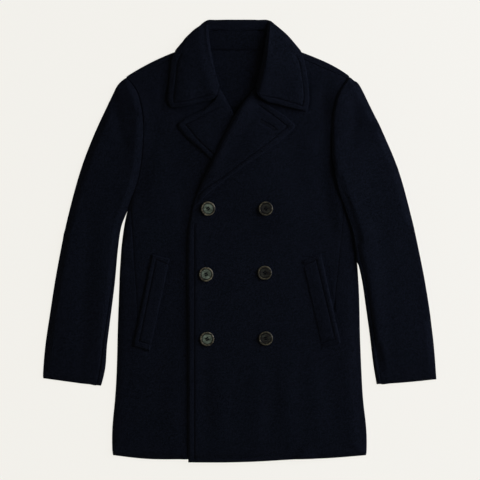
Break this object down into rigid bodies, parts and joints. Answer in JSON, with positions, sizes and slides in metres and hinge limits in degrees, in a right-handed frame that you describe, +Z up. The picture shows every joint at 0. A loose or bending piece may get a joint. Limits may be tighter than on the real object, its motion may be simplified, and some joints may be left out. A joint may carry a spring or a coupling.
{
  "type": "pea coat",
  "caption": "Double-breasted wool coat laid flat, with a turned-down collar, notched lapels, long sleeves and slanted welt pockets.",
  "frame": {"origin": "middle of the coat's outline on the surface it lies on", "axes": "+Y towards the collar, +X towards the wearer's left side, +Z up from the surface, out of the coat's front"},
  "size_m": [0.7863, 0.8855, 0.0257],
  "materials": {
    "melton": "dense felted navy melton wool, matt, with a short nap",
    "facing_cloth": "the same navy wool inside the neck, matt",
    "horn": "polished dark smoky horn"
  },
  "bodies": {
    "root": {"back": "melton", "back_neck_facing": "facing_cloth", "front_left": "melton", "front_right": "melton", "lapel_left": "melton", "lapel_right": "melton", "collar": "melton", "top_sleeve_left": "melton", "top_sleeve_right": "melton", "under_sleeve_left": "melton", "under_sleeve_right": "melton", "pocket_welt_left": "melton", "pocket_welt_right": "melton", "button_1": "horn", "button_2": "horn", "button_3": "horn", "button_4": "horn", "button_5": "horn", "button_6": "horn"}
  },
  "joints": []
}
